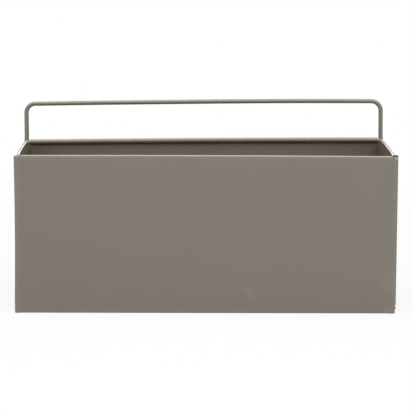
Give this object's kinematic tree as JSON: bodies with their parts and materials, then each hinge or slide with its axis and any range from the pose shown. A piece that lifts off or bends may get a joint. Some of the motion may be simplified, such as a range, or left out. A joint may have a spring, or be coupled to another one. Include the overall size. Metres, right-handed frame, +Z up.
{
  "type": "wall planter",
  "caption": "Open-topped rectangular planter box of folded sheet steel, with hemmed edges, folded corner seams, a rolled back rim and a bent round-rod hanger.",
  "frame": {"origin": "middle of the footprint, on the surface that the turned-in base flanges rest on", "axes": "+X along the width, to the right seen from the front; +Y from the front panel towards the wall; +Z up, from the base to the hanger's bar"},
  "size_m": [0.36, 0.145, 0.189],
  "materials": {
    "panel_coat": "satin warm-grey powder coat on sheet steel",
    "hanger_coat": "satin warm-grey powder coat on round steel rod"
  },
  "bodies": {
    "root": {"front_panel": "panel_coat", "left_side_panel": "panel_coat", "right_side_panel": "panel_coat", "back_panel": "panel_coat", "bottom_pan": "panel_coat", "hanger_rod": "hanger_coat"}
  },
  "joints": []
}
